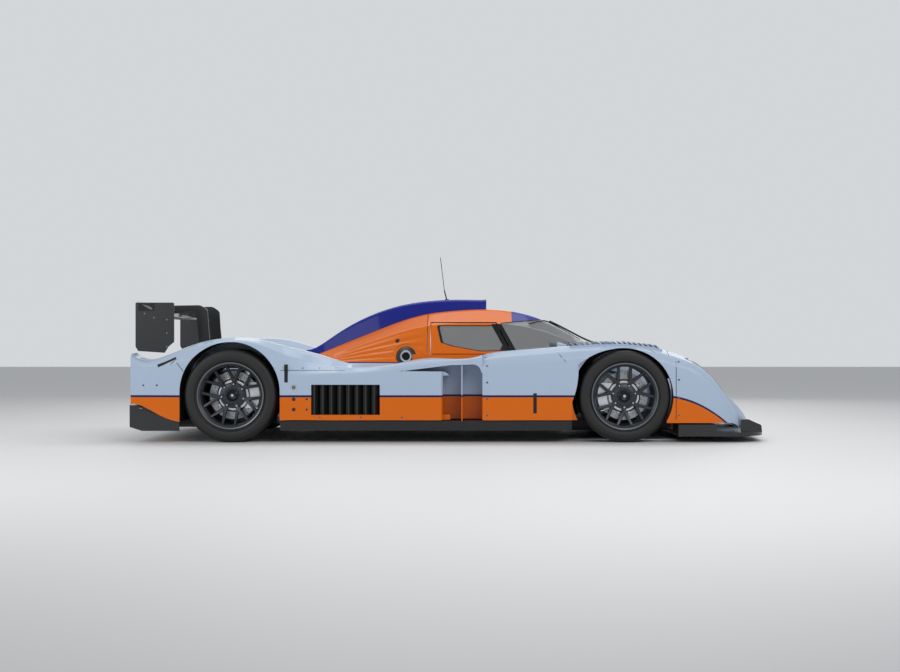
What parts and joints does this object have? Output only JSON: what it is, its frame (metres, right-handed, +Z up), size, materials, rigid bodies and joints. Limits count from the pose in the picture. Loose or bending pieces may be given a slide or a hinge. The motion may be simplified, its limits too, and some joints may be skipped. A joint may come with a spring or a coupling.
{
  "type": "sports prototype race car",
  "caption": "Closed-cockpit endurance racing car with covered wheels, gull-wing doors, roof scoop, front splitter and rear wing.",
  "frame": {"origin": "on the ground, under the middle of the car's length and width", "axes": "+X towards the nose, +Y towards the car's left, +Z up"},
  "size_m": [4.6878, 1.9914, 1.4083],
  "materials": {
    "body_blue": "gloss pale blue paint",
    "roof_orange": "gloss orange paint",
    "spine_navy": "gloss navy paint",
    "carbon": "satin carbon fibre",
    "clear_glass": "clear, slightly tinted",
    "lamp_cover": "clear",
    "lamp": "silvered lamp",
    "tail_red": "red lens",
    "tyre": "black rubber",
    "rim": "satin dark grey",
    "disc": "machined",
    "upright": "machined",
    "arm_steel": "black steel",
    "engine": "plain mass",
    "seat_fabric": "black cloth",
    "wheel_leather": "black suede",
    "bright_metal": "anodised",
    "aerial_black": "black"
  },
  "bodies": {
    "chassis": {"aerial": "aerial_black", "air_jack_socket": "bright_metal", "air_scoop": "spine_navy", "dashboard": "carbon", "diffuser": "carbon", "endplates": "carbon", "engine_cover": "roof_orange", "fender_louvres": "carbon", "floor": "carbon", "front_fenders": "body_blue", "front_wishbones": "arm_steel", "fuel_filler": "bright_metal", "headlamp_covers": "lamp_cover", "headlamps": "lamp", "intake_vanes": "carbon", "mirrors": "carbon", "nose": "roof_orange", "powertrain": "engine", "rear_fenders": "body_blue", "rear_uprights": "upright", "rear_wing": "carbon", "rear_wishbones": "arm_steel", "roof": "roof_orange", "seat": "seat_fabric", "side_vents": "carbon", "sidepods": "body_blue", "splitter": "carbon", "tail_lamps": "tail_red", "tow_eye": "arm_steel", "tub": "carbon", "windscreen": "clear_glass", "wing_pylons": "carbon"},
    "knuckle_right": {"front_upright_right": "upright"},
    "knuckle_left": {"front_upright_left": "upright"},
    "door_right": {"door_right": "body_blue", "door_window_right": "clear_glass"},
    "door_left": {"door_left": "body_blue", "door_window_left": "clear_glass"},
    "steering_wheel": {"steering_wheel": "wheel_leather"},
    "wheel_front_right": {"tyre_front_right": "tyre", "rim_front_right": "rim", "brake_disc_front_right": "disc"},
    "wheel_front_left": {"tyre_front_left": "tyre", "rim_front_left": "rim", "brake_disc_front_left": "disc"},
    "wheel_rear_right": {"tyre_rear_right": "tyre", "rim_rear_right": "rim", "brake_disc_rear_right": "disc"},
    "wheel_rear_left": {"tyre_rear_left": "tyre", "rim_rear_left": "rim", "brake_disc_rear_left": "disc"}
  },
  "joints": [
    {"name": "steer_right", "type": "hinge", "parent": "chassis", "child": "knuckle_right", "pos_m": [1.278, -0.78, 0.338], "axis": [0, 0, 1], "range_deg": [-15, 15]},
    {"name": "steer_left", "type": "hinge", "parent": "chassis", "child": "knuckle_left", "pos_m": [1.278, 0.78, 0.338], "axis": [0, 0, 1], "range_deg": [-15, 15]},
    {"name": "steering_wheel_turn", "type": "hinge", "parent": "chassis", "child": "steering_wheel", "pos_m": [0.4, -0.205, 0.64], "axis": [-0.9487, 0, 0.3162], "range_deg": [-120, 120]},
    {"name": "spin_front_right", "type": "hinge", "parent": "knuckle_right", "child": "wheel_front_right", "pos_m": [1.278, -0.81, 0.338], "axis": [0, 1, 0], "continuous": true},
    {"name": "spin_front_left", "type": "hinge", "parent": "knuckle_left", "child": "wheel_front_left", "pos_m": [1.278, 0.81, 0.338], "axis": [0, 1, 0], "continuous": true},
    {"name": "spin_rear_right", "type": "hinge", "parent": "chassis", "child": "wheel_rear_right", "pos_m": [-1.607, -0.7925, 0.342], "axis": [0, 1, 0], "continuous": true},
    {"name": "spin_rear_left", "type": "hinge", "parent": "chassis", "child": "wheel_rear_left", "pos_m": [-1.607, 0.7925, 0.342], "axis": [0, 1, 0], "continuous": true},
    {"name": "door_right_open", "type": "hinge", "parent": "chassis", "child": "door_right", "pos_m": [0.47, -0.45, 0.644], "axis": [-0.4412, 0.3648, 0.8199], "range_deg": [0, 62]},
    {"name": "door_left_open", "type": "hinge", "parent": "chassis", "child": "door_left", "pos_m": [0.47, 0.45, 0.644], "axis": [0.4412, 0.3648, -0.8199], "range_deg": [0, 62]}
  ],
  "couplings": [
    {"joint": "steer_left", "follows": "steer_right", "ratio": 1},
    {"joint": "steering_wheel_turn", "follows": "steer_right", "ratio": 8}
  ]
}
